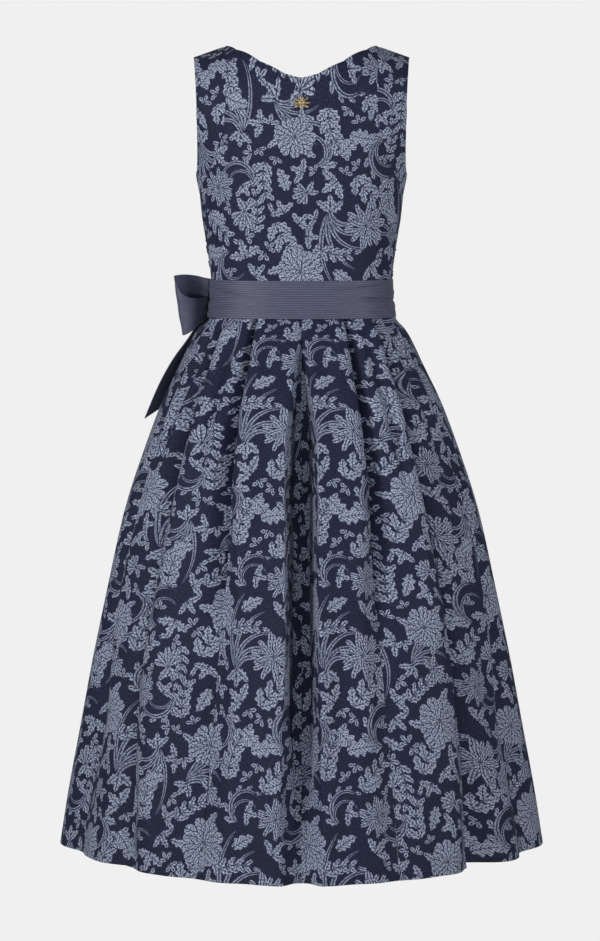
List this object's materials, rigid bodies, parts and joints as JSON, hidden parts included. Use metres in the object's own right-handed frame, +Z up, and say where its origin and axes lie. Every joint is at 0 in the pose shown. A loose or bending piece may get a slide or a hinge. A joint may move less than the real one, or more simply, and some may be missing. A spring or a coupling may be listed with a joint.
{
  "type": "dirndl with apron",
  "caption": "Sleeveless dirndl in the hollow form of a worn garment: fitted bodice, full pleated skirt, apron in front with its band tied in a bow at the wearer's left.",
  "frame": {"origin": "midway between the two shoulder straps, at the height of their neck points", "axes": "+Z up, +X to the wearer's right, +Y to the wearer's front, so the back faces -Y"},
  "size_m": [0.7225, 0.6614, 1.191],
  "materials": {
    "jacquard": "two-tone floral jacquard, navy ground with dusty blue motifs, dull satin",
    "apron_cloth": "slate blue grey rib-woven taffeta, low sheen",
    "charm_metal": "aged light brass"
  },
  "bodies": {
    "root": {"back_panel_left": "jacquard", "back_panel_right": "jacquard", "back_side_left": "jacquard", "back_side_right": "jacquard", "front_panel_left": "jacquard", "front_panel_right": "jacquard", "skirt_back_left": "jacquard", "skirt_back_right": "jacquard", "skirt_front_left": "jacquard", "skirt_front_right": "jacquard", "apron_skirt": "apron_cloth", "apron_waistband": "apron_cloth", "apron_tie": "apron_cloth", "bow_knot": "apron_cloth", "bow_loop_back": "apron_cloth", "bow_loop_front": "apron_cloth", "bow_tail_back": "apron_cloth", "bow_tail_front": "apron_cloth", "neck_charm": "charm_metal"}
  },
  "joints": []
}
